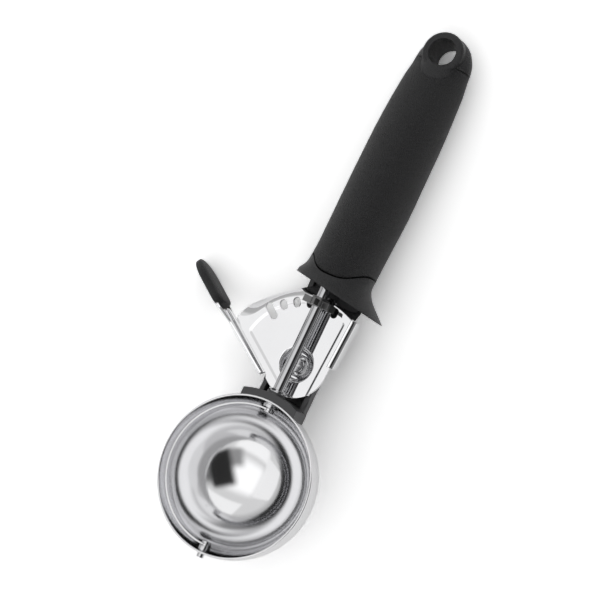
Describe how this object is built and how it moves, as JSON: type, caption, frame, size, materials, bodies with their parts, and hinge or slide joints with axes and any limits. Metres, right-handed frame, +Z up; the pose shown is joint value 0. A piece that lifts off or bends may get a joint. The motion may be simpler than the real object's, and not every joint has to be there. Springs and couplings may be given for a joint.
{
  "type": "ice cream scoop",
  "caption": "Lever ice cream scoop: polished bowl with a turning scraper blade driven by a thumb lever's rack and pinion, black grip.",
  "frame": {"origin": "middle of the underside of the box round the scoop as it lies on a table", "axes": "+X along the handle from the bowl, +Z up from the table, +Y to the thumb lever's side"},
  "size_m": [0.205, 0.075, 0.0428],
  "materials": {
    "bowl_steel": "polished",
    "steel": "ground",
    "blade_steel": "polished strip",
    "plate_steel": "plated pressing",
    "frame_metal": "dark grey satin casting",
    "bush_metal": "satin",
    "spring_steel": "drawn wire",
    "guard_plastic": "glossy hard shell",
    "core_plastic": "glossy hard core",
    "grip_rubber": "fine matt grain",
    "pad_rubber": "satin"
  },
  "bodies": {
    "body": {"frame": "frame_metal", "bowl": "bowl_steel", "bowl_rivets": "steel", "far_pivot_rivet": "steel", "lower_bush": "bush_metal", "pivot_post": "steel", "pivot_washer": "steel", "pivot_screw": "steel", "return_spring": "spring_steel", "guard": "guard_plastic", "upper_bush": "bush_metal", "handle_core": "core_plastic", "tang_pins": "steel", "grip": "grip_rubber"},
    "lever": {"lever_plate": "plate_steel", "thumb_pad": "pad_rubber"},
    "drive": {"spindle": "steel", "pinion": "steel", "retaining_clip": "spring_steel", "spindle_cap": "steel", "scraper_blade": "blade_steel"}
  },
  "joints": [
    {"name": "lever_swing", "type": "hinge", "parent": "body", "child": "lever", "pos_m": [-0.02783, -0.01089, 0.02101], "axis": [-0.0517, -0.3981, -0.9159], "range_deg": [0, 37.5], "stiffness_Nm_per_rad": 0.04, "springref_deg": -28.65, "deforming": ["return_spring"]},
    {"name": "spindle_turn", "type": "hinge", "parent": "body", "child": "drive", "pos_m": [-0.07184, -0.00914, 0.02754], "axis": [-0.9984, 0, 0.0564], "range_deg": [0, 174.42]}
  ],
  "couplings": [
    {"joint": "spindle_turn", "follows": "lever_swing", "ratio": 4.6512}
  ]
}
